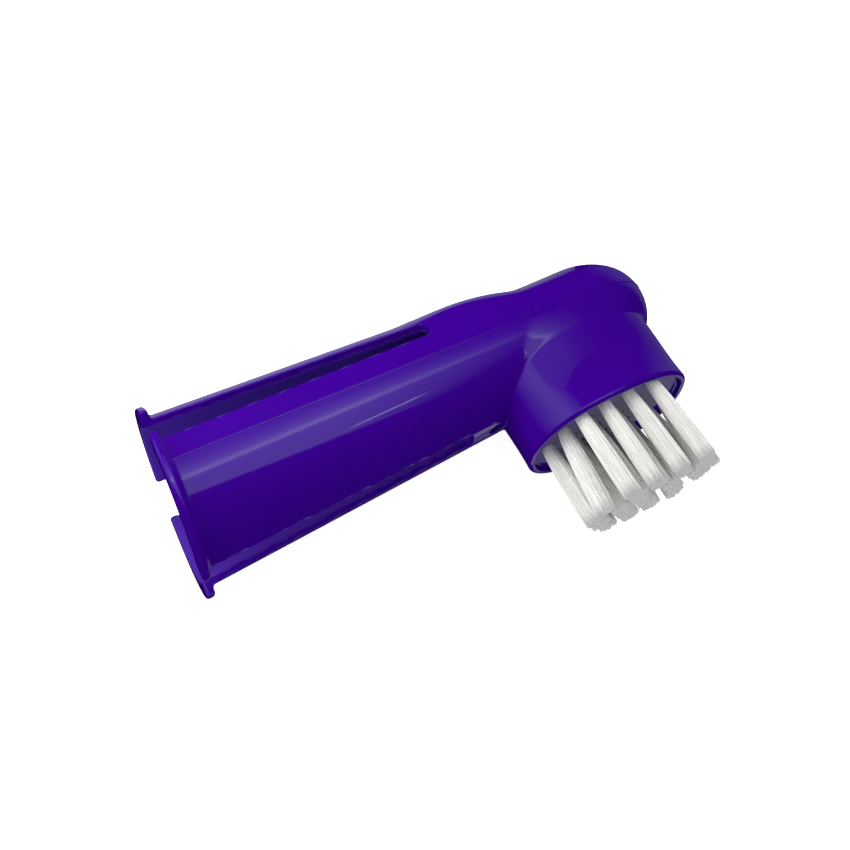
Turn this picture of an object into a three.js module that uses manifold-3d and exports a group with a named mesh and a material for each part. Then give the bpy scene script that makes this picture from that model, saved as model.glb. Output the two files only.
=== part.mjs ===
// Pet finger toothbrush: one moulded finger sleeve with an oval brush cup, 24 bristle tufts
// and the 24 flat metal anchors that hold the tufts in their blind holes.
//
// Frame, in millimetres: +X runs along the finger from the open mouth to the brush tip, the
// bristles point to -Y, the back of the finger faces +Y, and the brush lies on its side with
// +Z up. Everything is built from the middle of the mouth (x = 0) and the finger axis
// (y = z = 0), and the last step moves the origin to the middle of the footprint, at the lowest
// point.
import * as THREE from "three";
import { mergeVertices } from "three/addons/utils/BufferGeometryUtils.js";
import Module from "manifold-3d";

// Finger sleeve
const LENGTH = 67.15; // middle of the mouth to brush tip
const MOUTH_RADIUS = 10.86; // outer radius of the cone at the mouth
const TAPER = 0.0549; // radius lost per millimetre of length
const WALL = 1.25;
const TIP_START = 58; // where the rounded tip begins
const TIP_POWER = 2.05; // 2 would be an ellipse
const BORE_END = LENGTH - 1.6;

// Back of the sleeve: a fingertip-shaped dome that ends in a step down to the spine
const DOME_RADIUS = 9.02;
const DOME_START = 39.8;
const DOME_LENGTH = 19;
const SPINE_RADIUS = 7.45;
const BACK_EDGE = [35, 65]; // degrees from the back, where the dome fades into the flanks

// Flange round the mouth
const FLANGE_RADIUS = 12.15;
const FLANGE_THICKNESS = 1.1;
const FLANGE_FILLET = 0.5;
const FLANGE_ROUND = 0.3;
const MOUTH_SLANT = 3; // degrees: the end face leans forward on the bristle side

// Three slots that split the mouth into three springy panels
const SLOT_ANGLES = [60, -60, 180]; // degrees from the back (+Y) towards +Z
const SLOT_MOUTH_WIDTH = 4.9;
const SLOT_END_WIDTH = 2.85;
const SLOT_END = 36.5;
const SLOT_CORNER = 1;

// Drain hole between the bristle-side slot and the cup
const DRAIN_X = 40.15;
const DRAIN_LENGTH = 2.3;
const DRAIN_WIDTH = 1.7;

// Oval brush cup
const CUP_X = 53;
const CUP_HALF_LENGTH = 11.35;
const CUP_HALF_WIDTH = 7.75;
const CUP_FLARE = { length: 0.25, width: 1.1 }; // how far the rim stands out
const CUP_FLARE_START = -6.5;
const CUP_POWER = 2.35; // 2 would be an ellipse
const RIM_Y = -14.7;
const RIM_ROUND = 0.5;
const FLOOR_Y = -14;
const RECESS_HALF_LENGTH = 10.7;
const RECESS_HALF_WIDTH = 7.95;

// Bristle tufts, on a triangular grid
const TUFT_ROWS = [4, 5, 6, 5, 4];
const TUFT_PITCH = 3.47;
const ROW_SPACING = (TUFT_PITCH * Math.sqrt(3)) / 2;
const TUFT_BASE_RADIUS = 0.88;
const TUFT_TIP_RADIUS = 1.3;
const TUFT_END_Y = -25.95; // row 1
const TUFT_ROW_STEP = 0.25; // the trim plane leans: each row below ends this much earlier
const HOLE_RADIUS = 0.95;
const HOLE_DEPTH = 3.6;
const ROOT_GAP = 0.08; // between a tuft's root and the hole round it

// Anchors: flat wire, driven across each hole with the filaments folded round it
const ANCHOR_SIZE = { x: 2.3, y: 1.5, z: 0.3 };
const ANCHOR_BITE_GAP = 0.03;
const ANCHOR_LIFT = 0.5; // filament fold between the anchor and the hole's bottom

const SIDES = 40; // facets round the sleeve and the cup

const wasm = await Module();
wasm.setup();

const plastic = new THREE.MeshStandardMaterial({ color: 0x4e00a4, roughness: 0.25, metalness: 0 });
const nylon = new THREE.MeshStandardMaterial({ color: 0xe9eaec, roughness: 0.45, metalness: 0 });
const steel = new THREE.MeshStandardMaterial({ color: 0xb9bcc0, roughness: 0.35, metalness: 1 });

// A closed three.js geometry as a manifold-3d solid.
function solid(geometry) {
  const bare = geometry.index ? geometry.toNonIndexed() : geometry.clone();
  for (const name of Object.keys(bare.attributes)) {
    if (name !== "position") bare.deleteAttribute(name);
  }
  const merged = mergeVertices(bare, 1e-4);
  const mesh = new wasm.Mesh({
    numProp: 3,
    vertProperties: new Float32Array(merged.attributes.position.array),
    triVerts: new Uint32Array(merged.index.array),
  });
  return new wasm.Manifold(mesh);
}

// A manifold-3d solid as a named three.js mesh.
function meshOf(body, name, material) {
  const { vertProperties, triVerts } = body.getMesh();
  const geometry = new THREE.BufferGeometry();
  geometry.setAttribute("position", new THREE.BufferAttribute(vertProperties, 3));
  geometry.setIndex(new THREE.BufferAttribute(triVerts, 1));
  geometry.computeVertexNormals();
  const mesh = new THREE.Mesh(geometry, material);
  mesh.name = name;
  return mesh;
}

// A closed skin through rings of points, each ring with the same number of points.
function loft(rings) {
  const count = rings[0].length;
  const middles = [rings[0], rings[rings.length - 1]].map((ring) =>
    ring.reduce((sum, p) => sum.add(p), new THREE.Vector3()).divideScalar(count),
  );
  const points = [...rings.flat(), ...middles];
  const start = points.length - 2;
  const last = (rings.length - 1) * count;
  const faces = [];
  for (let j = 0; j < count; j++) {
    const next = (j + 1) % count;
    for (let i = 0; i < rings.length - 1; i++) {
      const [a, b] = [i * count + j, i * count + next];
      faces.push(a, b, b + count, a, b + count, a + count);
    }
    faces.push(start, next, j);
    faces.push(start + 1, last + j, last + next);
  }
  const geometry = new THREE.BufferGeometry().setFromPoints(points);
  geometry.setIndex(faces);
  return geometry;
}

const slant = THREE.MathUtils.degToRad(MOUTH_SLANT);
const smooth = (t) => THREE.MathUtils.smoothstep(t, 0, 1);
const roundEnd = (t, power) => Math.max(1 - t ** power, 0) ** (1 / power);

// Radius of the sleeve's outer surface on its flanks and bristle side.
function flankRadius(x) {
  const cone = MOUTH_RADIUS - TAPER * Math.min(x, TIP_START);
  return cone * roundEnd(Math.max(x - TIP_START, 0) / (LENGTH - TIP_START), TIP_POWER);
}

// Radius along the back of the finger, with the dome and the spine.
function backRadius(x) {
  const cone = MOUTH_RADIUS - TAPER * x;
  const dome = DOME_RADIUS * roundEnd(Math.max(x - DOME_START, 0) / DOME_LENGTH, 2);
  const spine = SPINE_RADIUS * roundEnd(Math.max(x - TIP_START, 0) / (LENGTH - TIP_START), TIP_POWER);
  return x < DOME_START ? Math.max(cone, DOME_RADIUS) : Math.max(dome, spine);
}

function sleeveRadius(x, angle) {
  const fromBack = THREE.MathUtils.radToDeg(Math.acos(Math.cos(angle)));
  const flank = smooth((fromBack - BACK_EDGE[0]) / (BACK_EDGE[1] - BACK_EDGE[0]));
  return THREE.MathUtils.lerp(backRadius(x), flankRadius(x), flank);
}

// A ring of the sleeve at x, its surface moved inwards by inset.
function sleeveRing(x, inset, surfaceX = x) {
  const ring = [];
  for (let j = 0; j < SIDES; j++) {
    const angle = (2 * Math.PI * j) / SIDES;
    const radius = Math.max(sleeveRadius(surfaceX, angle) - inset, 0.2);
    ring.push(new THREE.Vector3(x, radius * Math.cos(angle), radius * Math.sin(angle)));
  }
  return ring;
}

// Stations along the rounded tip, closer together towards its end.
function tipStations(from, to, steps) {
  const stations = [];
  for (let i = 0; i <= steps; i++) {
    stations.push(from + (to - from) * Math.sin((0.5 * Math.PI * i) / steps));
  }
  return stations;
}

function sleeveShell() {
  const straight = [-1, 33.5, 36.5, 39.8, 43, 46, 48.5, 50.6, 54];
  const outer = [...straight, ...tipStations(TIP_START, LENGTH, 8)].map((x) => sleeveRing(x, 0));
  const stretch = (LENGTH - TIP_START) / (BORE_END - TIP_START);
  const boreTip = tipStations(TIP_START, BORE_END, 6).map((x) =>
    sleeveRing(x, WALL * (1 - ((x - TIP_START) / (BORE_END - TIP_START)) ** 2),
      TIP_START + (x - TIP_START) * stretch),
  );
  const bore = [-2, ...straight.slice(1)].map((x) => sleeveRing(x, WALL));
  return { outer: solid(loft(outer)), bore: solid(loft([...bore, ...boreTip])) };
}

// The flange is turned round X: its profile runs in (radius, x).
function flange() {
  const inner = MOUTH_RADIUS - WALL - 0.3;
  const tube = MOUTH_RADIUS - TAPER * FLANGE_THICKNESS;
  const profile = new THREE.Path();
  profile.moveTo(inner, 0);
  profile.lineTo(FLANGE_RADIUS - FLANGE_ROUND, 0);
  profile.absarc(FLANGE_RADIUS - FLANGE_ROUND, FLANGE_ROUND, FLANGE_ROUND, -Math.PI / 2, 0);
  profile.lineTo(FLANGE_RADIUS, FLANGE_THICKNESS - FLANGE_ROUND);
  profile.absarc(FLANGE_RADIUS - FLANGE_ROUND, FLANGE_THICKNESS - FLANGE_ROUND, FLANGE_ROUND,
    0, Math.PI / 2);
  profile.lineTo(tube + FLANGE_FILLET, FLANGE_THICKNESS);
  profile.absarc(tube + FLANGE_FILLET, FLANGE_THICKNESS + FLANGE_FILLET, FLANGE_FILLET,
    -Math.PI / 2, -Math.PI, true);
  profile.lineTo(inner, FLANGE_THICKNESS + FLANGE_FILLET);
  profile.closePath();
  const geometry = new THREE.LatheGeometry(profile.getPoints(2), SIDES + 8);
  geometry.rotateZ(-Math.PI / 2 - slant);
  return solid(geometry);
}

// Everything in front of the slanted end face.
function mouthCutter() {
  const depth = 4;
  const geometry = new THREE.BoxGeometry(depth, 4 * FLANGE_RADIUS, 4 * FLANGE_RADIUS);
  geometry.translate(-depth / 2, 0, 0);
  geometry.rotateZ(-slant);
  return solid(geometry);
}

// An oval ring in a plane of constant y.
function ovalRing(y, halfLength, halfWidth) {
  const ring = [];
  for (let j = 0; j < SIDES; j++) {
    const angle = (2 * Math.PI * j) / SIDES;
    const [c, s] = [Math.cos(angle), Math.sin(angle)];
    const x = halfLength * Math.sign(c) * Math.abs(c) ** (2 / CUP_POWER);
    const z = halfWidth * Math.sign(s) * Math.abs(s) ** (2 / CUP_POWER);
    ring.push(new THREE.Vector3(CUP_X + x, y, z));
  }
  return ring;
}

function cup() {
  const flareEnd = RIM_Y + RIM_ROUND;
  const rings = [ovalRing(-1, CUP_HALF_LENGTH, CUP_HALF_WIDTH)];
  for (let i = 0; i <= 4; i++) {
    const flare = (i / 4) ** 2;
    rings.push(ovalRing(THREE.MathUtils.lerp(CUP_FLARE_START, flareEnd, i / 4),
      CUP_HALF_LENGTH + CUP_FLARE.length * flare, CUP_HALF_WIDTH + CUP_FLARE.width * flare));
  }
  for (const turn of [Math.PI / 4, Math.PI / 2]) {
    const inset = RIM_ROUND * (1 - Math.cos(turn));
    rings.push(ovalRing(flareEnd - RIM_ROUND * Math.sin(turn),
      CUP_HALF_LENGTH + CUP_FLARE.length - inset, CUP_HALF_WIDTH + CUP_FLARE.width - inset));
  }
  return solid(loft(rings));
}

function recess() {
  return solid(loft([
    ovalRing(FLOOR_Y, RECESS_HALF_LENGTH, RECESS_HALF_WIDTH),
    ovalRing(RIM_Y - 1, RECESS_HALF_LENGTH, RECESS_HALF_WIDTH),
  ]));
}

// Slot cutter: a tapered finger with rounded corners, turned about the finger axis.
function slot(angle) {
  const lead = 2;
  const cornerX = SLOT_END - SLOT_CORNER;
  const cornerZ = SLOT_END_WIDTH / 2 - SLOT_CORNER;
  const widen = (SLOT_MOUTH_WIDTH - SLOT_END_WIDTH) / cornerX;
  const outline = new THREE.Shape();
  outline.moveTo(-lead, -(SLOT_MOUTH_WIDTH + widen * lead) / 2);
  outline.lineTo(cornerX, -SLOT_END_WIDTH / 2);
  outline.absarc(cornerX, -cornerZ, SLOT_CORNER, -Math.PI / 2, 0);
  outline.absarc(cornerX, cornerZ, SLOT_CORNER, 0, Math.PI / 2);
  outline.lineTo(-lead, (SLOT_MOUTH_WIDTH + widen * lead) / 2);
  outline.closePath();
  const inner = 5;
  const geometry = new THREE.ExtrudeGeometry(outline, {
    depth: FLANGE_RADIUS + 1 - inner, bevelEnabled: false, curveSegments: 5,
  });
  geometry.translate(0, 0, inner);
  geometry.rotateX(THREE.MathUtils.degToRad(angle - 90));
  return solid(geometry);
}

function drain() {
  const geometry = new THREE.CylinderGeometry(0.5, 0.5, 4, 20);
  geometry.scale(DRAIN_LENGTH, 1, DRAIN_WIDTH);
  geometry.translate(DRAIN_X, -8, 0);
  return solid(geometry);
}

// Tuft centres: name and place, row 1 on top (+Z).
function tuftPlaces() {
  return TUFT_ROWS.flatMap((count, row) =>
    Array.from({ length: count }, (_, i) => ({
      tag: "r" + (row + 1) + "_" + (i + 1),
      x: CUP_X + (i - (count - 1) / 2) * TUFT_PITCH,
      z: ((TUFT_ROWS.length - 1) / 2 - row) * ROW_SPACING,
      end: TUFT_END_Y + row * TUFT_ROW_STEP,
    })),
  );
}

const holeTop = FLOOR_Y + HOLE_DEPTH;
const anchorY = holeTop - ANCHOR_LIFT - ANCHOR_SIZE.y / 2;

function box(x, y, z, size, grow) {
  const geometry = new THREE.BoxGeometry(size.x + grow, size.y + grow, size.z + grow);
  geometry.translate(x, y, z);
  return solid(geometry);
}

function tuftHole({ x, z }) {
  const geometry = new THREE.CylinderGeometry(HOLE_RADIUS, HOLE_RADIUS, HOLE_DEPTH + 0.5, 10);
  geometry.translate(x, holeTop - (HOLE_DEPTH + 0.5) / 2, z);
  return solid(geometry).add(box(x, anchorY, z, ANCHOR_SIZE, 2 * ANCHOR_BITE_GAP));
}

// A tuft: its folded root in the hole, and the filaments that fan out to the cut end.
function tuft({ x, z, end }) {
  const root = HOLE_RADIUS - ROOT_GAP;
  const profile = [
    new THREE.Vector2(0, holeTop - ROOT_GAP),
    new THREE.Vector2(root * 0.7, holeTop - ROOT_GAP),
    new THREE.Vector2(root, holeTop - 0.35),
    new THREE.Vector2(TUFT_BASE_RADIUS, FLOOR_Y),
    new THREE.Vector2(TUFT_TIP_RADIUS, end),
    new THREE.Vector2(0, end),
  ];
  const geometry = new THREE.LatheGeometry(profile.reverse(), 10);
  geometry.translate(x, 0, z);
  return solid(geometry).subtract(box(x, anchorY, z, ANCHOR_SIZE, 2 * ANCHOR_BITE_GAP));
}

function sleeve(places) {
  const { outer, bore } = sleeveShell();
  let body = outer.add(cup()).add(flange()).subtract(mouthCutter());
  body = body.subtract(bore).subtract(recess()).subtract(drain());
  for (const angle of SLOT_ANGLES) body = body.subtract(slot(angle));
  for (const place of places) body = body.subtract(tuftHole(place));
  return meshOf(body, "sleeve", plastic);
}

const brush = new THREE.Group();
const places = tuftPlaces();
brush.add(sleeve(places));
for (const place of places) {
  brush.add(meshOf(tuft(place), "tuft_" + place.tag, nylon));
  const plate = box(place.x, anchorY, place.z, ANCHOR_SIZE, 0);
  brush.add(meshOf(plate, "anchor_" + place.tag, steel));
}

// Origin: the middle of the footprint, at the lowest point.
const extent = new THREE.Box3().setFromObject(brush, true);
const middle = extent.getCenter(new THREE.Vector3());
brush.position.set(-middle.x, -middle.y, -extent.min.z);

const part = new THREE.Group();
part.add(brush);
export default part;
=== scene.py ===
"""Pet finger toothbrush: the looks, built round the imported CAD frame.

Lengths in the constants are millimetres in the sleeve's own frame, unless a comment says metres:
x runs along the finger from the middle of the mouth, y towards the back of the finger and z
towards the upper side.
"""

import math
import random

import bpy
import numpy as np
from mathutils import Matrix, Vector


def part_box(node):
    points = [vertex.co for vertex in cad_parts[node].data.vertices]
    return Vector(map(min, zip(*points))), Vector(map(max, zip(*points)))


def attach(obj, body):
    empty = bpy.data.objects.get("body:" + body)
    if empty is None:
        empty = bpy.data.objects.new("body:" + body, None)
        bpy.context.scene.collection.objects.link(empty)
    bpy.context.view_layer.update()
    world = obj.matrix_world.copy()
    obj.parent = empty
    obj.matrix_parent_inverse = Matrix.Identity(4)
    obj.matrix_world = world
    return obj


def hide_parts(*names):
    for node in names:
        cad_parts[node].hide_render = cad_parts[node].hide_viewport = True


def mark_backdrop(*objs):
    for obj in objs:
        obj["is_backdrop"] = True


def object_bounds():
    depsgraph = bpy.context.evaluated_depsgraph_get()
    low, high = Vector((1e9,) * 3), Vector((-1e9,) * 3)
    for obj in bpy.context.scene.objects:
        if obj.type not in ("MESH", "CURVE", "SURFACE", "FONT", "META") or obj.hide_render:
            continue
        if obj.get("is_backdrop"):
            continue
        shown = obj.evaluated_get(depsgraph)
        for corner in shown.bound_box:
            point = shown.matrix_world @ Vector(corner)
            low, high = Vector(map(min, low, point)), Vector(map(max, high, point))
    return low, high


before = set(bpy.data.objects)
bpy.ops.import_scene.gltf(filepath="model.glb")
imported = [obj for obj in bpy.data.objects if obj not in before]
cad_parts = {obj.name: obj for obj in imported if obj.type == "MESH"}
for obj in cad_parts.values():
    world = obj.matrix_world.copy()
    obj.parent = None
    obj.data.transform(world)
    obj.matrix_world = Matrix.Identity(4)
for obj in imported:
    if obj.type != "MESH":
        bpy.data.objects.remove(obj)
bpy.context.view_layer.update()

MM = 0.001

# Finger sleeve
LENGTH = 67.15
MOUTH_RADIUS = 10.86
TAPER = 0.0549
WALL = 1.25
TIP_START = 58.0
TIP_POWER = 2.05
DOME_RADIUS = 9.02
DOME_START = 39.8
DOME_LENGTH = 19.0
SPINE_RADIUS = 7.45
SPINE_BLEND = 0.35
BACK_EDGE = (35.0, 65.0)
BORE_ROUND = 0.2

# Flange and slots. The flange is made FLANGE_SPARE longer in front and cut off at the mouth, whose
# plane is turned by MOUTH_SLANT and leans by MOUTH_LEAN per millimetre of z. The slots' edges are
# rounded with the first of SLOT_ROUND along the tube and with the second at the flange.
FLANGE_RADIUS = 12.15
FLANGE_THICKNESS = 1.15
FLANGE_FILLET = 0.5
FLANGE_ROUND = 0.5
FLANGE_SPARE = 2.0
MOUTH_ROUND = 0.3
MOUTH_SLANT = math.radians(3.0)
MOUTH_LEAN = 0.022
SLOT_ANGLES = (60.0, -60.0, 180.0)
SLOT_MOUTH_WIDTH = 4.9
SLOT_END_WIDTH = 2.9
SLOT_END = 36.5
SLOT_CORNER = 0.75
SLOT_FLOOR = 4.0
SLOT_ROUND = (0.16, 0.32)
SLOT_ROUND_SPAN = (1.75, 0.95)
DRAIN = (40.15, -0.3)
DRAIN_HALF = (1.15, 0.9)
DRAIN_TOP_Y = -4.0
DRAIN_ROUND = 0.15

# Brush cup. Its section goes from NECK_POWER to RIM_POWER, and widens, over CUP_FLARE_SPAN in y.
CUP_X = 53.0
CUP_HALF = (11.4, 7.75)
CUP_FLARE = (0.2, 1.1)
CUP_FLARE_SPAN = (-6.5, -14.2)
NECK_POWER = 2.7
RIM_POWER = 2.25
NECK_FILLET = (0.2, 0.8)
NECK_FILLET_SPAN = (-5.5, -3.0)
CUP_TOP_Y = -1.0
HEAD_REACH = 13.5
RIM_Y = -14.7
RIM_ROUND = 0.45
FLOOR_Y = -14.0
RECESS_HALF = (10.7, 7.95)
RECESS_ROUND = 0.3

# Bristle tufts and their holes. Row 1 is the upper one, which the camera sees whole. A tuft starts
# ROOT_GAP over its hole's bottom, is as narrow as ROOT_FANS up to ROOT_NECK under the cup's floor,
# and is wider by FLARE at its tips. It leans by up to LEAN in x and z, or as TUFT_LEANS says.
TUFT_ROWS = (4, 5, 6, 5, 4)
TUFT_PITCH = 3.47
TUFT_RADIUS = 0.75
HOLE_RADIUS = 0.84
HOLE_DEPTH = 3.6
HOLE_ROUND = 0.1
ROOT_GAP = 0.15
ROOT_FANS = (0.86, 0.9)
ROOT_NECK = 0.4
FIRST_ROW_FLARE = (0.34, 0.42)
FLARE = (0.62, 0.72)
LEAN = (0.35, 0.3)
TUFT_LEANS = {
    (1, 3): (0.3, 0.0, 0.0),
    (2, 1): (-1.2, 0.0, 0.1),
    (2, 5): (-0.5, 0.0, 0.0),
    (3, 4): (0.8, 0.0, 0.0),
    (3, 5): (1.2, 0.0, 0.0),
    (4, 4): (0.7, 0.0, 0.0),
    (4, 5): (1.2, 0.0, 0.2),
}

# A tuft's solid middle, as a share of its radius and with how far it ends short of the tips
MIDDLE_SHARE = 0.93
MIDDLE_SHORT = 0.22
MIDDLE_SIDES = 24

# Its filaments: an outer ring, and the others evenly inside it. Their ends differ by STRAND_SHORT
# and STRAND_DRIFT, and are cut at a slant of up to STRAND_TILT.
STRANDS = 84
OUTER_STRANDS = 36
OUTER_SHARES = (0.94, 1.02)
OUTER_TURN = 0.3
INNER_SHARE = 0.88
GOLDEN_TURN = math.pi * (3 - math.sqrt(5))
STRAND_RADIUS = 0.085
STRAND_SIDES = 6
STRAND_DRIFT = 0.03
STRAND_SHORT = 0.14
STRAND_LONG = 0.02
STRAND_TILT = 0.6
BRISTLE_STEPS = 8

# Line that the mould leaves along both sides and round the tip: half its width, and its height
BEAD = (0.21, 0.075)
BEAD_STEPS = 60
BEAD_TIP_STEPS = 24
BEAD_SIDES = 10

# The sleeve's mesh: grid step in quick and full mode, room round it, and most triangles
GRID_STEPS = (0.4, 0.22)
GRID_ROOM = 0.7
GRID_SLICES = 24
MOST_TRIANGLES = 180_000

low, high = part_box("sleeve")
AXIS = Vector((high.x / MM - LENGTH, low.y / MM - RIM_Y, (low.z + high.z) / 2 / MM))


def row(point):
    """A point of the sleeve's frame, in millimetres, as a point of the row frame in metres."""
    return (Vector(point) + AXIS) * MM


# ---------------------------------------------------------------- the sleeve as a distance field


def united(a, b, r):
    """Union of two solids with a round fillet of radius r."""
    fillet = np.hypot(np.maximum(r - a, 0), np.maximum(r - b, 0))
    return np.maximum(r, np.minimum(a, b)) - fillet


def shared(a, b, r):
    """Intersection of two solids, its edge rounded with radius r."""
    edge = np.hypot(np.maximum(r + a, 0), np.maximum(r + b, 0))
    return np.minimum(-r, np.maximum(a, b)) + edge


def cut(a, b, r):
    return shared(a, -b, r)


def ease(t):
    t = np.clip(t, 0, 1)
    return t * t * (3 - 2 * t)


def part_way(value, span):
    """How far value is along span: 0 at its start and 1 at its end."""
    return (value - span[0]) / (span[1] - span[0])


def eased(start, end, t):
    """Goes from start to end as t goes from 0 to 1."""
    return start + (end - start) * ease(t)


def oval(u, v, a, b, power):
    """Signed distance, near its edge, to a superellipse with half axes a and b."""
    s = np.abs(u) / a + 1e-6
    t = np.abs(v) / b + 1e-6
    h = (s**power + t**power) ** (1 / power)
    slope = h ** (1 - power) * np.hypot(s ** (power - 1) / a, t ** (power - 1) / b)
    return (h - 1) / slope


def tube(x, y, z):
    """The closed cone that the finger goes into, with the dome and the spine on its back."""
    rho = np.hypot(y, z)
    along = np.minimum(x, TIP_START)
    flank = MOUTH_RADIUS - TAPER * along
    step = np.clip((x - DOME_START) / DOME_LENGTH, 0, 1)
    dome = np.where(
        x < DOME_START,
        np.maximum(flank, DOME_RADIUS),
        DOME_RADIUS * np.sqrt(1 - step * step),
    )
    back = np.maximum(dome, SPINE_RADIUS)
    near = np.maximum(SPINE_BLEND - np.abs(dome - SPINE_RADIUS), 0) / SPINE_BLEND
    back = back + near * near * SPINE_BLEND / 4
    angle = np.degrees(np.arctan2(np.abs(z), y))
    radius = eased(back, flank, part_way(angle, BACK_EDGE))
    d = rho - radius
    tip = x > TIP_START
    if tip.any():
        reach = LENGTH - TIP_START
        u = (x[tip] - TIP_START) / reach + 1e-6
        w = rho[tip] / radius[tip] + 1e-6
        g = (u**TIP_POWER + w**TIP_POWER) ** (1 / TIP_POWER)
        rise = np.hypot(u ** (TIP_POWER - 1) / reach, w ** (TIP_POWER - 1) / radius[tip])
        d[tip] = (g - 1) / (g ** (1 - TIP_POWER) * rise)
    return d


def tuft_places():
    """Row and number of each tuft with its place in x and z; row 1 is on top."""
    spacing = TUFT_PITCH * math.sqrt(3) / 2
    return [
        (r + 1, i + 1, CUP_X + (i - (n - 1) / 2) * TUFT_PITCH, (2 - r) * spacing)
        for r, n in enumerate(TUFT_ROWS)
        for i in range(n)
    ]


def cup_parts(x, y, z):
    """Distances to the cup, to the recess in its rim and to the tuft holes."""
    t = np.clip(part_way(y, CUP_FLARE_SPAN), 0, 1)
    flare = t * t
    power = eased(NECK_POWER, RIM_POWER, t)
    a = CUP_HALF[0] + CUP_FLARE[0] * flare
    b = CUP_HALF[1] + CUP_FLARE[1] * flare
    cup = oval(x - CUP_X, z, a, b, power)
    cup = shared(cup, RIM_Y - y, RIM_ROUND)
    cup = np.maximum(cup, y - CUP_TOP_Y)
    recess = oval(x - CUP_X, z, RECESS_HALF[0], RECESS_HALF[1], RIM_POWER)
    recess = shared(recess, y - FLOOR_Y, RECESS_ROUND)
    holes = np.full_like(x, np.inf)
    for _, _, hx, hz in tuft_places():
        holes = np.minimum(holes, np.hypot(x - hx, z - hz))
    holes = np.maximum(holes - HOLE_RADIUS, y - FLOOR_Y - HOLE_DEPTH)
    return cup, recess, holes


def slot(x, y, z, angle):
    """A slot cutter: it narrows away from the mouth and ends in rounded corners."""
    turn = math.radians(angle)
    out = y * math.cos(turn) + z * math.sin(turn)
    across = np.abs(z * math.cos(turn) - y * math.sin(turn))
    narrowing = (SLOT_MOUTH_WIDTH - SLOT_END_WIDTH) / SLOT_END
    half = (SLOT_MOUTH_WIDTH - narrowing * x) / 2
    u = x - (SLOT_END - SLOT_CORNER)
    v = across - (half - SLOT_CORNER)
    inside = np.minimum(np.maximum(u, v), 0)
    d = np.hypot(np.maximum(u, 0), np.maximum(v, 0)) + inside - SLOT_CORNER
    return np.maximum(d, SLOT_FLOOR - out)


def field(x, y, z):
    """Signed distance to the sleeve, in millimetres."""
    shell = tube(x, y, z)
    depth = x * math.cos(MOUTH_SLANT) - y * math.sin(MOUTH_SLANT)
    depth = depth - MOUTH_LEAN * (z - FLANGE_RADIUS)
    drop = x * math.sin(MOUTH_SLANT) + y * math.cos(MOUTH_SLANT)
    u = np.hypot(drop, z) - (FLANGE_RADIUS - FLANGE_ROUND)
    middle = (FLANGE_THICKNESS - FLANGE_SPARE) / 2
    half = (FLANGE_THICKNESS + FLANGE_SPARE) / 2
    v = np.abs(depth - middle) - (half - FLANGE_ROUND)
    flange = np.hypot(np.maximum(u, 0), np.maximum(v, 0)) + np.minimum(np.maximum(u, v), 0)
    body = united(shell, flange - FLANGE_ROUND, FLANGE_FILLET)
    body = shared(body, -depth, MOUTH_ROUND)
    head = (x > CUP_X - HEAD_REACH) & (y < 1)
    cup, recess, holes = (np.full_like(x, 5.0) for _ in range(3))
    cup[head], recess[head], holes[head] = cup_parts(x[head], y[head], z[head])
    fillet = eased(*NECK_FILLET, part_way(y, NECK_FILLET_SPAN))
    body = united(body, cup, fillet)
    body = cut(body, recess, RECESS_ROUND)
    body = cut(body, holes, HOLE_ROUND)
    body = cut(body, shell + WALL, BORE_ROUND)
    edge = eased(*SLOT_ROUND, part_way(depth, SLOT_ROUND_SPAN))
    for angle in SLOT_ANGLES:
        body = cut(body, slot(x, y, z, angle), edge)
    drain = oval(x - DRAIN[0], z - DRAIN[1], DRAIN_HALF[0], DRAIN_HALF[1], 2.0)
    return cut(body, np.maximum(drain, y - DRAIN_TOP_Y), DRAIN_ROUND)


def gradient(p, h=0.02):
    g = np.empty_like(p)
    for i in range(3):
        step = np.zeros(3)
        step[i] = h
        g[:, i] = (field(*(p + step).T) - field(*(p - step).T)) / (2 * h)
    return g


def settle(p, most, rounds=3):
    """Moves points onto the field's surface."""
    for _ in range(rounds):
        g = gradient(p)
        step = field(*p.T) / np.maximum((g * g).sum(1), 0.05)
        p = p - np.clip(step, -most, most)[:, None] * g
    return p


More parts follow.
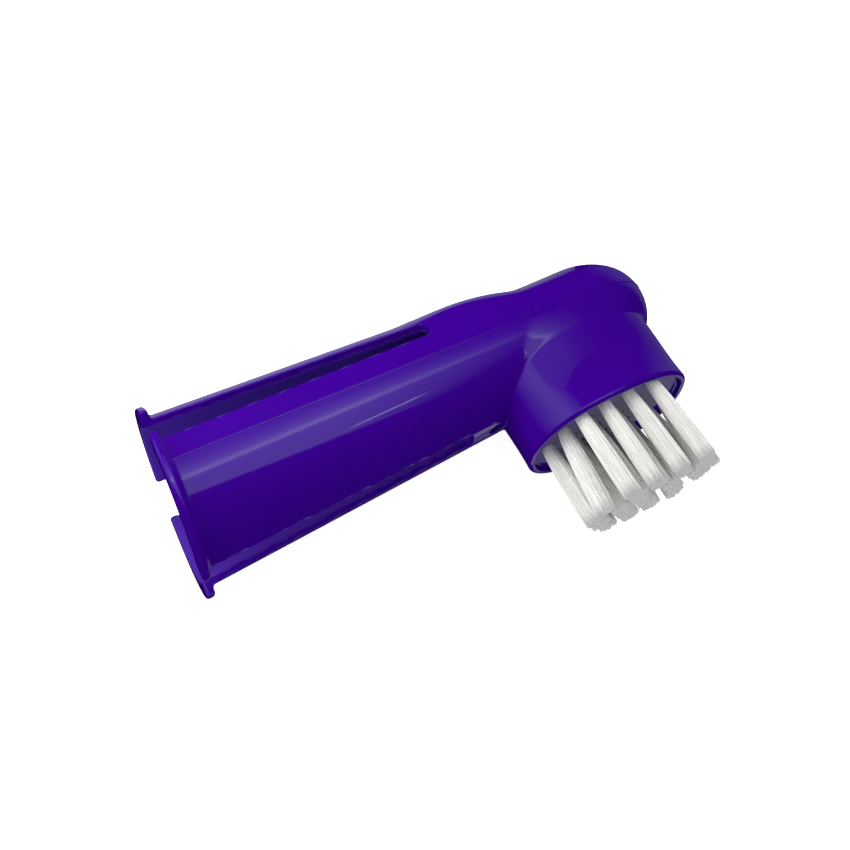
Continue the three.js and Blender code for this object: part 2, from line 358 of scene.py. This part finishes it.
def surface_net(lo, hi, step):
    """Quads over the surface of field, one point in each grid cell that it crosses."""
    axes = [np.arange(a, b + step, step) for a, b in zip(lo, hi)]
    grid = np.meshgrid(*axes, indexing="ij")
    flat = [g.ravel() for g in grid]
    parts = np.array_split(np.arange(flat[0].size), GRID_SLICES)
    values = np.concatenate([field(*(f[part] for f in flat)) for part in parts])
    values = values.reshape(grid[0].shape)
    solid = values < 0
    cells = tuple(n - 1 for n in solid.shape)
    total = np.zeros((*cells, 3), np.float32)
    count = np.zeros(cells, np.float32)
    crossings = []
    for axis in range(3):
        a = np.moveaxis(values, axis, 0)
        crossed = (a[:-1] < 0) != (a[1:] < 0)
        with np.errstate(divide="ignore", invalid="ignore"):
            t = np.where(crossed, a[:-1] / (a[:-1] - a[1:]), 0)
        crossed, t = np.moveaxis(crossed, 0, axis), np.moveaxis(t, 0, axis)
        crossings.append(crossed)
        others = [i for i in range(3) if i != axis]
        for du in (0, 1):
            for dv in (0, 1):
                cell = [slice(None)] * 3
                cell[others[0]] = slice(du, du + cells[others[0]])
                cell[others[1]] = slice(dv, dv + cells[others[1]])
                hit = crossed[tuple(cell)]
                count += hit
                total[..., axis] += t[tuple(cell)] * hit
                total[..., others[0]] += du * hit
                total[..., others[1]] += dv * hit
    active = count > 0
    index = np.full(cells, -1)
    index[active] = np.arange(active.sum())
    corner = np.argwhere(active)
    points = np.array(lo) + (corner + total[active] / count[active][:, None]) * step
    quads = []
    for axis in range(3):
        others = [i for i in range(3) if i != axis]
        at = np.argwhere(crossings[axis])
        keep = np.ones(len(at), bool)
        for o in others:
            keep &= (at[:, o] > 0) & (at[:, o] < cells[o])
        at = at[keep]
        around = []
        for du, dv in ((1, 1), (0, 1), (0, 0), (1, 0)):
            cell = at.copy()
            cell[:, others[0]] -= du
            cell[:, others[1]] -= dv
            around.append(index[tuple(cell.T)])
        quad = np.stack(around, 1)
        flip = solid[tuple(at.T)] == (axis == 1)
        quad[flip] = quad[flip][:, ::-1]
        quads.append(quad)
    return points, np.concatenate(quads)


def mesh_of(name, points, faces):
    """A mesh, in the row frame, from points in the sleeve's frame."""
    mesh = bpy.data.meshes.new(name)
    place = (np.asarray(points) + np.array(AXIS)) * MM
    mesh.from_pydata(place.tolist(), [], [list(map(int, f)) for f in faces])
    mesh.update()
    return mesh


def add(name, mesh, material):
    mesh.materials.append(material)
    ob = bpy.data.objects.new(name, mesh)
    bpy.context.scene.collection.objects.link(ob)
    return ob


def applied(ob):
    """Replaces the object's mesh with the result of its modifiers."""
    graph = bpy.context.evaluated_depsgraph_get()
    mesh = bpy.data.meshes.new_from_object(ob.evaluated_get(graph))
    ob.modifiers.clear()
    ob.data = mesh


def points_of(mesh):
    co = np.empty(len(mesh.vertices) * 3)
    mesh.vertices.foreach_get("co", co)
    return co.reshape(-1, 3)


def parting_bead():
    """Points, faces and outward directions of the moulding line, one closed strip at y = 0."""
    along = np.linspace(FLANGE_THICKNESS, TIP_START, BEAD_STEPS)
    side = [(x, MOUTH_RADIUS - TAPER * x) for x in along]
    radius = side[-1][1]
    reach = LENGTH - TIP_START
    for turn in np.linspace(0, math.pi / 2, BEAD_TIP_STEPS)[1:]:
        across = max(math.cos(turn), 0) ** (2 / TIP_POWER)
        side.append((TIP_START + reach * math.sin(turn) ** (2 / TIP_POWER), radius * across))
    line = np.array(side + [(x, -z) for x, z in side[-2::-1]])
    ahead = np.gradient(line, axis=0)
    ahead /= np.linalg.norm(ahead, axis=1)[:, None]
    width, height = BEAD
    sides = BEAD_SIDES
    points, normals, faces = [], [], []
    for (x, z), (dx, dz) in zip(line, ahead):
        for j in range(sides):
            c = math.cos(2 * math.pi * j / sides)
            s = math.sin(2 * math.pi * j / sides)
            points.append((x - dz * c * height, -s * width, z + dx * c * height))
            normals.append((-dz * c / height, -s / width, dx * c / height))
    for i in range(0, len(points) - sides, sides):
        for j in range(sides):
            k = (j + 1) % sides
            faces.append((i + j, i + k, i + k + sides, i + j + sides))
    faces.append(tuple(range(sides - 1, -1, -1)))
    faces.append(tuple(range(len(points) - sides, len(points))))
    return np.array(points), faces, np.array(normals)


def make_sleeve(material):
    """The sleeve's mesh from its field, evened out and with the parting bead on it."""
    step = GRID_STEPS[1]
    side = FLANGE_RADIUS + GRID_ROOM
    lo = (-1.4, RIM_Y - 1, -side)
    hi = (LENGTH + 0.6, side, side)
    points, quads = surface_net(lo, hi, step)
    points = settle(points, step / 2)
    ob = add("finger_sleeve", mesh_of("finger_sleeve", points, quads), material)
    triangles = 2 * len(quads)
    if triangles > MOST_TRIANGLES:
        thin = ob.modifiers.new("thin", "DECIMATE")
        thin.ratio = MOST_TRIANGLES / triangles
        applied(ob)
    p = settle(points_of(ob.data) / MM - np.array(AXIS), 0.05, 2)
    faces = [tuple(poly.vertices) for poly in ob.data.polygons]
    bead, bead_faces, bead_normals = parting_bead()
    faces += [tuple(len(p) + v for v in face) for face in bead_faces]
    normals = np.concatenate([gradient(p), bead_normals])
    normals /= np.linalg.norm(normals, axis=1)[:, None]
    # The bore data marks where the plastic turns matt and where its colour is painted lighter as
    # painted fill light.
    inside = np.concatenate([ease(-tube(*p.T) / WALL * 2 - 1), np.zeros(len(bead))])
    mesh = mesh_of("finger_sleeve_skin", np.concatenate([p, bead]), faces)
    mesh.materials.append(material)
    mesh.attributes.new("bore", "FLOAT", "POINT").data.foreach_set("value", inside)
    mesh.polygons.foreach_set("use_smooth", [True] * len(mesh.polygons))
    mesh.normals_split_custom_set_from_vertices(normals.tolist())
    ob.data = mesh
    return ob


# ---------------------------------------------------------------- bristles


def strand(path, radii, sides, faces, points, tilt=0.0):
    """A round rod through the path's points, closed at both ends."""
    start = len(points)
    for i, (centre, radius) in enumerate(zip(path, radii)):
        ahead = path[min(i + 1, len(path) - 1)] - path[max(i - 1, 0)]
        along = ahead.normalized()
        side = along.cross(Vector((0, 0, 1))).normalized()
        other = along.cross(side)
        for j in range(sides):
            turn = 2 * math.pi * j / sides
            offset = side * math.cos(turn) + other * math.sin(turn)
            point = centre + offset * radius
            if i == len(path) - 1:
                point += along * tilt * math.cos(turn) * radius
            points.append(point)
    for i in range(len(path) - 1):
        for j in range(sides):
            a = start + i * sides + j
            b = start + i * sides + (j + 1) % sides
            faces.append((a, b, b + sides, a + sides))
    last = start + (len(path) - 1) * sides
    faces.append(tuple(range(start + sides - 1, start - 1, -1)))
    faces.append(tuple(range(last, last + sides)))


def widening(t, flare):
    """How much wider the bundle is at t, from 0 at the cup's floor to 1 at its tip."""
    return 1.0 + flare * (1 - (1 - t) ** 3)


def make_tuft(r, i, x, z, material):
    """A packed bundle: a solid middle with filaments round and through it that stand proud."""
    name = f"tuft_r{r}_{i}"
    dice = random.Random(100 * r + i)
    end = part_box(name)[0].y / MM - AXIS.y
    root = FLOOR_Y + HOLE_DEPTH - ROOT_GAP
    lean = Vector((dice.uniform(-LEAN[0], LEAN[0]), 0, dice.uniform(-LEAN[1], LEAN[1])))
    if (r, i) in TUFT_LEANS:
        lean = Vector(TUFT_LEANS[r, i])
    flare = dice.uniform(*(FIRST_ROW_FLARE if r == 1 else FLARE))

    def way(offset, drift, reach):
        """The line of a filament from its root in the hole to its cut end."""
        path = [Vector((x, root, z)) + offset * ROOT_FANS[0]]
        path.append(Vector((x, FLOOR_Y + ROOT_NECK, z)) + offset * ROOT_FANS[1])
        for k in range(BRISTLE_STEPS + 1):
            t = k / BRISTLE_STEPS
            y = FLOOR_Y + (reach - FLOOR_Y) * t
            path.append(Vector((x, y, z)) + offset * widening(t, flare) + (lean + drift) * t)
        return path

    points, faces = [], []
    middle = way(Vector(), Vector(), end + MIDDLE_SHORT)
    fans = [*ROOT_FANS, *(widening(k / BRISTLE_STEPS, flare) for k in range(BRISTLE_STEPS + 1))]
    radii = [TUFT_RADIUS * MIDDLE_SHARE * fan for fan in fans]
    strand(middle, radii, MIDDLE_SIDES, faces, points)
    for n in range(STRANDS):
        if n < OUTER_STRANDS:
            out = TUFT_RADIUS * dice.uniform(*OUTER_SHARES)
            turn = 2 * math.pi * (n + dice.uniform(-OUTER_TURN, OUTER_TURN)) / OUTER_STRANDS
        else:
            share = (n - OUTER_STRANDS + 0.5) / (STRANDS - OUTER_STRANDS)
            out = TUFT_RADIUS * INNER_SHARE * math.sqrt(share)
            turn = n * GOLDEN_TURN
        offset = Vector((math.cos(turn) * out, 0, math.sin(turn) * out))
        reach = end + abs(dice.gauss(0, STRAND_SHORT)) - STRAND_LONG
        drift = Vector((dice.gauss(0, STRAND_DRIFT), 0, dice.gauss(0, STRAND_DRIFT)))
        path = way(offset, drift, reach)
        tilt = dice.uniform(-STRAND_TILT, STRAND_TILT)
        strand(path, [STRAND_RADIUS] * len(path), STRAND_SIDES, faces, points, tilt)
    ob = add("bristles" + name[4:], mesh_of(name, points, faces), material)
    for poly in ob.data.polygons:
        poly.use_smooth = len(poly.vertices) == 4
    ob.visible_glossy = False
    return ob, name


# ---------------------------------------------------------------- materials


def shader(name):
    """A material with one Principled shader, its node tree and that shader."""
    material = bpy.data.materials.new(name)
    material.use_nodes = True
    tree = material.node_tree
    tree.nodes.clear()
    output = tree.nodes.new("ShaderNodeOutputMaterial")
    bsdf = tree.nodes.new("ShaderNodeBsdfPrincipled")
    tree.links.new(bsdf.outputs[0], output.inputs[0])
    return material, tree, bsdf


def feed(tree, socket, value):
    """Links the socket to value if that is a socket too, or else sets it."""
    if isinstance(value, bpy.types.NodeSocket):
        tree.links.new(value, socket)
    else:
        socket.default_value = value


def node(tree, kind, inputs=(), **settings):
    made = tree.nodes.new("ShaderNode" + kind)
    for key, value in settings.items():
        setattr(made, key, value)
    for key, value in dict(inputs).items():
        feed(tree, made.inputs[key], value)
    return made


def noise(tree, place, scale, detail=2.0, rough=0.5):
    inputs = {"Vector": place, "Scale": scale, "Detail": detail, "Roughness": rough}
    return node(tree, "TexNoise", inputs).outputs["Fac"]


def ramp(tree, factor, *stops):
    made = node(tree, "ValToRGB", {"Fac": factor})
    elements = made.color_ramp.elements
    while len(elements) < len(stops):
        elements.new(0.5)
    for element, (at, colour) in zip(elements, stops):
        element.position = at
        element.color = (*colour, 1)
    return made.outputs["Color"]


def spread(tree, value, low_value, high_value, low_in=0.3, high_in=0.7):
    inputs = {
        "Value": value,
        "From Min": low_in,
        "From Max": high_in,
        "To Min": low_value,
        "To Max": high_value,
    }
    return node(tree, "MapRange", inputs).outputs["Result"]


def mixed(tree, kind, factor, a, b):
    """A blend of a and b, by factor. The kind is Float for numbers and Color for colours."""
    made = tree.nodes.new("ShaderNodeMix")
    made.data_type = "RGBA" if kind == "Color" else "FLOAT"
    sockets = {socket.identifier: socket for socket in made.inputs}
    feed(tree, sockets["Factor_Float"], factor)
    feed(tree, sockets["A_" + kind], a)
    feed(tree, sockets["B_" + kind], b)
    return next(socket for socket in made.outputs if socket.identifier == "Result_" + kind)


def purple_plastic():
    """Glossy outside, and matt in the bore, which its own point data marks; there the base colour is
    painted lighter, as painted fill light for the bore's inside.
    """
    material, tree, bsdf = shader("purple_plastic")
    place = node(tree, "TexCoord").outputs["Object"]
    bore = node(tree, "Attribute", attribute_name="bore").outputs["Fac"]
    cloud = noise(tree, place, 90.0, 3.0)
    stops = (0.35, (0.0315, 0.0003, 0.218)), (0.65, (0.0335, 0.0004, 0.230))
    skin = ramp(tree, cloud, *stops)
    # Painted light: the bore's base colour is lighter than the skin's, as painted fill light in the
    # bore.
    colour = mixed(tree, "Color", bore, skin, (0.054, 0.0003, 0.360, 1))
    tree.links.new(colour, bsdf.inputs["Base Color"])
    haze = noise(tree, place, 260.0, 4.0, 0.6)
    polish = spread(tree, haze, 0.05, 0.08)
    roughness = mixed(tree, "Float", bore, polish, 0.75)
    tree.links.new(roughness, bsdf.inputs["Roughness"])
    grain = noise(tree, place, 900.0, 3.0)
    swirl = noise(tree, place, 160.0, 2.0)
    height = node(tree, "Math", {0: grain, 1: swirl}, operation="ADD").outputs[0]
    bump = node(tree, "Bump", {"Height": height, "Strength": 0.04, "Distance": 0.00002})
    tree.links.new(bump.outputs["Normal"], bsdf.inputs["Normal"])
    bsdf.inputs["IOR"].default_value = 1.5
    bsdf.inputs["Subsurface Weight"].default_value = 0.08
    bsdf.inputs["Subsurface Radius"].default_value = (0.6, 0.1, 1.0)
    bsdf.inputs["Subsurface Scale"].default_value = 0.0006
    return material


def stretched(tree, scale):
    """The object's coordinates, scaled so that a noise of them turns into streaks."""
    place = node(tree, "TexCoord").outputs["Object"]
    return node(tree, "Mapping", {"Vector": place, "Scale": scale}).outputs["Vector"]


def white_nylon():
    """Filaments in slightly different whites, with streaks along them."""
    material, tree, bsdf = shader("white_nylon")
    tone = noise(tree, stretched(tree, (1.0, 0.06, 1.0)), 5200.0, 2.0)
    colour = ramp(tree, tone, (0.35, (0.69, 0.70, 0.69)), (0.6, (0.81, 0.82, 0.81)))
    tree.links.new(colour, bsdf.inputs["Base Color"])
    tree.links.new(spread(tree, tone, 0.55, 0.7), bsdf.inputs["Roughness"])
    bsdf.inputs["Subsurface Weight"].default_value = 0.04
    bsdf.inputs["Subsurface Radius"].default_value = (1.0, 1.0, 1.0)
    bsdf.inputs["Subsurface Scale"].default_value = 0.0004
    return material


def anchor_steel():
    """Drawn wire, with fine lines along it."""
    material, tree, bsdf = shader("anchor_steel")
    line = noise(tree, stretched(tree, (0.1, 1.0, 1.0)), 4000.0, 3.0)
    colour = ramp(tree, line, (0.3, (0.50, 0.51, 0.52)), (0.7, (0.66, 0.67, 0.68)))
    tree.links.new(colour, bsdf.inputs["Base Color"])
    tree.links.new(spread(tree, line, 0.25, 0.45), bsdf.inputs["Roughness"])
    bsdf.inputs["Metallic"].default_value = 1.0
    return material


def glow(name, strength, white=0.0):
    """A matt surface that gives off white light; white is how much light it also throws back."""
    material, tree, bsdf = shader(name)
    bsdf.inputs["Base Color"].default_value = (white, white, white, 1)
    bsdf.inputs["Roughness"].default_value = 1.0
    bsdf.inputs["Specular IOR Level"].default_value = 0.0
    bsdf.inputs["Emission Color"].default_value = (1, 1, 1, 1)
    bsdf.inputs["Emission Strength"].default_value = strength
    return material


# ---------------------------------------------------------------- camera, light and floor

CAMERA_PLACE = (-8.53, -62.00, 130.77)
CAMERA_RIGHT = Vector((0.87651, -0.47742, 0.06159))
CAMERA_UP = Vector((0.39604, 0.78793, 0.47151))
CAMERA_LENS = 50.18

# Softbox over the brush, in metres but for its height: its corners, how bright it is at a few
# places from its front edge to its back, with a lamp tube that shows through, and where it dims to
# nothing towards +x
SOFTBOX = ((-0.10, -0.03), (0.10, -0.223), (0.38, -0.50), (0.38, 0.28), (-0.10, 0.28))
SOFTBOX_HEIGHT = 500.0
SOFTBOX_LEVELS = (
    (-0.30, 0.85),
    (-0.06, 0.85),
    (-0.04, 1.2),
    (-0.03, 2.3),
    (-0.005, 2.4),
    (0.02, 1.35),
    (0.06, 0.9),
    (0.16, 0.35),
    (0.28, 0.2),
)
SOFTBOX_DIMMING = (0.19, 0.33)

# Bright strip under the softbox's slanted edge, in metres but for its drop: ends, width, light
STRIP = ((0.215, -0.280), (0.262, -0.264))
STRIP_WIDTH = 0.022
STRIP_DROP = 2.0
STRIP_LEVEL = 4.0

# Point that the cards face, and their distance from it in metres
MIDDLE = (34, -2, 0)
CARD_DISTANCE = 0.5

# Floor and backdrop, in metres
FLOOR_HALF = 1.6
FLOOR_GAP = 0.0001
BACKDROP_RADIUS = 1.5


def make_camera():
    data = bpy.data.cameras.new("camera")
    data.sensor_width = 36.0
    data.lens = CAMERA_LENS
    data.clip_start = 0.01
    data.clip_end = 10.0
    camera = bpy.data.objects.new("camera", data)
    bpy.context.scene.collection.objects.link(camera)
    back = CAMERA_RIGHT.cross(CAMERA_UP).normalized()
    up = back.cross(CAMERA_RIGHT).normalized()
    turn = Matrix((CAMERA_RIGHT.normalized(), up, back)).transposed().to_4x4()
    camera.matrix_world = Matrix.Translation(row(CAMERA_PLACE)) @ turn
    bpy.context.scene.camera = camera


def facing(toward, distance, across):
    """A place at that distance from the brush, turned to face it."""
    out = Vector(toward).normalized()
    side = (Vector(across) - out * out.dot(Vector(across))).normalized()
    turn = Matrix((side, out.cross(side), out)).transposed().to_4x4()
    return Matrix.Translation(row(MIDDLE) + out * distance) @ turn


def make_key(name, place, aim, size, radiance, colour):
    """A soft lamp that shades the brush but isn't mirrored in it."""
    data = bpy.data.lights.new(name, "AREA")
    data.shape = "RECTANGLE"
    data.size = data.size_y = size
    data.color = colour
    data.energy = radiance * math.pi * size * size
    light = bpy.data.objects.new(name, data)
    bpy.context.scene.collection.objects.link(light)
    out = (row(place) - row(aim)).normalized()
    side = out.cross(Vector((0, 0, 1))).normalized()
    turn = Matrix((side, out.cross(side), out)).transposed().to_4x4()
    light.matrix_world = Matrix.Translation(row(place)) @ turn
    light.visible_camera = False
    light.visible_glossy = False


def make_world():
    """Even room light. It isn't mirrored in the brush: the softbox and the cards are."""
    world = bpy.data.worlds.new("studio")
    bpy.context.scene.world = world
    world.use_nodes = True
    tree = world.node_tree
    tree.nodes.clear()
    light = node(tree, "Background", {"Color": (0.97, 0.98, 1.0, 1), "Strength": 0.8})
    output = node(tree, "OutputWorld")
    tree.links.new(light.outputs[0], output.inputs[0])
    world.cycles_visibility.glossy = False


def flat(name, corners):
    """A mesh of one face with these corners, in metres."""
    mesh = bpy.data.meshes.new(name)
    mesh.from_pydata([(x, y, 0) for x, y in corners], [], [tuple(range(len(corners)))])
    return mesh


def oblong(w, h):
    """Corners of a rectangle round the origin, from its half width and half height."""
    return [(-w, -h), (w, -h), (w, h), (-w, h)]


def lit_front(name):
    """A material that throws no light back, and the parts of the object's coordinates in it."""
    material, tree, bsdf = shader(name)
    bsdf.inputs["Base Color"].default_value = (0, 0, 0, 1)
    bsdf.inputs["Specular IOR Level"].default_value = 0.0
    place = node(tree, "TexCoord").outputs["Object"]
    return material, tree, bsdf, node(tree, "SeparateXYZ", {"Vector": place}).outputs


def only_mirrored(ob):
    """Makes the object show only as a reflection."""
    for flag in ("camera", "diffuse", "transmission", "volume_scatter", "shadow"):
        setattr(ob, "visible_" + flag, False)
    ob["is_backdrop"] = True


def make_card(name, az, phi, levels, soft=0.15):
    """A white card that shows only as a reflection in the brush.

    az gives the directions that it covers, in degrees towards +x, and phi those round the x axis
    from +z towards +y. The levels are its radiance from its -x end to its +x end, and soft is the
    part of its half height over which its long edges fade.
    """
    a, b = (math.radians(sum(span) / 2) for span in (az, phi))
    w, h = (CARD_DISTANCE * math.tan(math.radians(span[1] - span[0]) / 2) for span in (az, phi))
    toward = (math.sin(a), math.cos(a) * math.sin(b), math.cos(a) * math.cos(b))
    material, tree, bsdf, parts = lit_front(name + "_white")
    along = spread(tree, parts["X"], 0.0, 1.0, -w, w)
    peak = max(levels)
    stops = [(i / (len(levels) - 1), (level / peak,) * 3) for i, level in enumerate(levels)]
    height = node(tree, "Math", {0: parts["Y"]}, operation="ABSOLUTE").outputs[0]
    fade = spread(tree, height, peak, 0.0, h * (1 - soft), h)
    tree.links.new(ramp(tree, along, *stops), bsdf.inputs["Emission Color"])
    tree.links.new(fade, bsdf.inputs["Emission Strength"])
    card = add(name, flat(name, oblong(w, h)), material)
    card.matrix_world = facing(toward, CARD_DISTANCE, (1, 0, 0))
    only_mirrored(card)


def softbox_front():
    """The softbox's front: brightest along its tube, and dimmer towards the back and +x."""
    material, tree, bsdf, parts = lit_front("softbox_front")
    front = SOFTBOX_LEVELS[0][0]
    back = SOFTBOX_LEVELS[-1][0]
    depth = spread(tree, parts["Y"], 0.0, 1.0, front, back)
    peak = max(level for _, level in SOFTBOX_LEVELS)
    stops = [((y - front) / (back - front), (level / peak,) * 3) for y, level in SOFTBOX_LEVELS]
    fade = spread(tree, parts["X"], peak, 0.0, *SOFTBOX_DIMMING)
    tree.links.new(ramp(tree, depth, *stops), bsdf.inputs["Emission Color"])
    tree.links.new(fade, bsdf.inputs["Emission Strength"])
    return material


def make_softbox():
    """A softbox over the brush, cut off at an angle in front, and a bright strip at that edge."""
    box = add("softbox", flat("softbox", SOFTBOX), softbox_front())
    box.location = row((0, 0, SOFTBOX_HEIGHT))
    only_mirrored(box)
    (ax, ay), (bx, by) = STRIP
    w = STRIP_WIDTH / 2
    corners = [(ax, ay - w), (bx, by - w), (bx, by + w), (ax, ay + w)]
    strip = add("strip", flat("strip", corners), glow("strip_white", STRIP_LEVEL))
    strip.location = row((0, 0, SOFTBOX_HEIGHT - STRIP_DROP))
    only_mirrored(strip)


def make_stage():
    """A pale floor and a far backdrop, which light nothing and show only to the camera."""
    mesh = flat("floor", oblong(FLOOR_HALF, FLOOR_HALF))
    floor = add("floor", mesh, glow("floor_white", 0.8, 0.85))
    floor.location.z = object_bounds()[0].z - FLOOR_GAP
    bpy.ops.mesh.primitive_uv_sphere_add(segments=48, ring_count=24, radius=BACKDROP_RADIUS)
    dome = bpy.context.object
    dome.name = "backdrop"
    dome.data.materials.append(glow("backdrop_white", 1.0))
    dome.visible_shadow = False
    for ob in (floor, dome):
        ob.visible_diffuse = False
        ob.visible_glossy = False
        ob.visible_transmission = False
    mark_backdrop(floor, dome)


# ---------------------------------------------------------------- assembly

make_camera()
make_world()
make_softbox()
make_card("left", (-75, -3), (4, 62), (0.04, 0.1, 0.25, 0.45, 0.7, 0.8, 0.4, 0.0), 0.6)
make_card("back", (-5, 30), (107, 142), (0.30, 0.42, 0.42, 0.2))
make_card("back_right", (34, 78), (80, 150), (0.0, 0.10, 0.16, 0.1), 0.6)
make_card("front", (-6, 26), (-156, -140), (0.9, 0.9))
make_card("under", (16, 40), (-180, -142), (0.15, 0.35, 0.45), 0.7)
make_key("key", (5, 40, 65), (12, 0, 0), 0.07, 4.7, (1.0, 0.90, 0.80))
make_key("fill", (160, 40, 90), (55, 0, 0), 0.12, 0.85, (1.0, 1.0, 1.0))
make_key("mouth_fill", (-60, -10, 30), (0, 0, 0), 0.05, 2.0, (1.0, 1.0, 1.0))

plastic = purple_plastic()
nylon = white_nylon()
steel = anchor_steel()

sleeve = make_sleeve(plastic)
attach(sleeve, "root")
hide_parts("sleeve")

for r, i, x, z in tuft_places():
    tuft, name = make_tuft(r, i, x, z, nylon)
    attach(tuft, "root")
    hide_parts(name)

for name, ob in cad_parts.items():
    if name.startswith("anchor"):
        ob.data.materials.clear()
        ob.data.materials.append(steel)

make_stage()
bpy.context.scene.view_settings.view_transform = "Standard"
